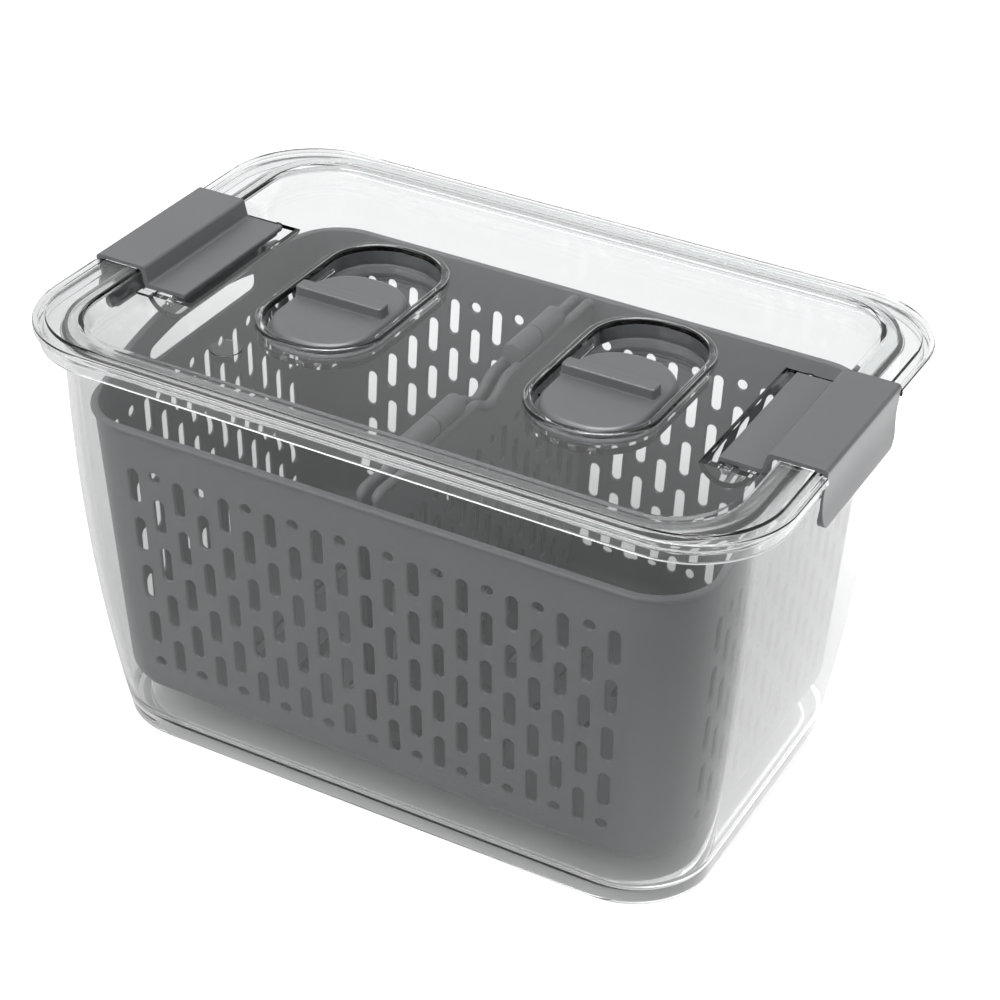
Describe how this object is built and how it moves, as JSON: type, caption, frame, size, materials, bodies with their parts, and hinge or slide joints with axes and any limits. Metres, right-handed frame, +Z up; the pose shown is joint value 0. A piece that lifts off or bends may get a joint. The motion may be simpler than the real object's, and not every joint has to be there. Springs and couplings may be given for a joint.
{
  "type": "produce keeper",
  "caption": "Clear lidded food keeper with sliding vents and snap latches, holding a perforated lift-out basket and a folding divider.",
  "frame": {"origin": "on the table under the middle of the tub, at the centre of the foot ring", "axes": "+X along the long side, towards the right latch; +Y along the short side, away from the front; +Z up"},
  "size_m": [0.3146, 0.205, 0.1852],
  "materials": {
    "clear_plastic": "clear, polished",
    "clear_silicone": "clear, soft",
    "grey_plastic": "satin",
    "basket_plastic": "fine matt"
  },
  "bodies": {
    "tub": {"tub": "clear_plastic"},
    "lid": {"lid": "clear_plastic", "lid_gasket": "clear_silicone"},
    "latch_left": {"latch_left": "grey_plastic"},
    "latch_right": {"latch_right": "grey_plastic"},
    "vent_slider_left": {"vent_slider_left": "grey_plastic"},
    "vent_slider_right": {"vent_slider_right": "grey_plastic"},
    "basket": {"basket": "basket_plastic"},
    "divider_left": {"divider_leaf_left": "basket_plastic"},
    "divider_right": {"divider_leaf_right": "basket_plastic"}
  },
  "joints": [
    {"name": "lid_lift", "type": "slide", "parent": "tub", "child": "lid", "axis": [0, 0, 1], "range_m": [0, 0.36]},
    {"name": "latch_left_turn", "type": "hinge", "parent": "lid", "child": "latch_left", "pos_m": [-0.1185, 0, 0.1744], "axis": [0, 1, 0], "range_deg": [0, 60]},
    {"name": "latch_right_turn", "type": "hinge", "parent": "lid", "child": "latch_right", "pos_m": [0.1185, 0, 0.1744], "axis": [0, -1, 0], "range_deg": [0, 60]},
    {"name": "vent_left_slide", "type": "slide", "parent": "lid", "child": "vent_slider_left", "axis": [0, 1, 0], "range_m": [0, 0.022]},
    {"name": "vent_right_slide", "type": "slide", "parent": "lid", "child": "vent_slider_right", "axis": [0, 1, 0], "range_m": [0, 0.022]},
    {"name": "basket_lift", "type": "slide", "parent": "tub", "child": "basket", "axis": [0, 0, 1], "range_m": [0, 0.175]},
    {"name": "divider_lift", "type": "slide", "parent": "basket", "child": "divider_left", "axis": [0, 0, 1], "range_m": [0, 0.15]},
    {"name": "divider_fold", "type": "hinge", "parent": "divider_left", "child": "divider_right", "pos_m": [0, 0, 0.1565], "axis": [0, -1, 0], "range_deg": [0, 45]}
  ],
  "couplings": [
    {"joint": "basket_lift", "follows": "lid_lift", "ratio": 0.486},
    {"joint": "divider_lift", "follows": "lid_lift", "ratio": 0.4166}
  ]
}
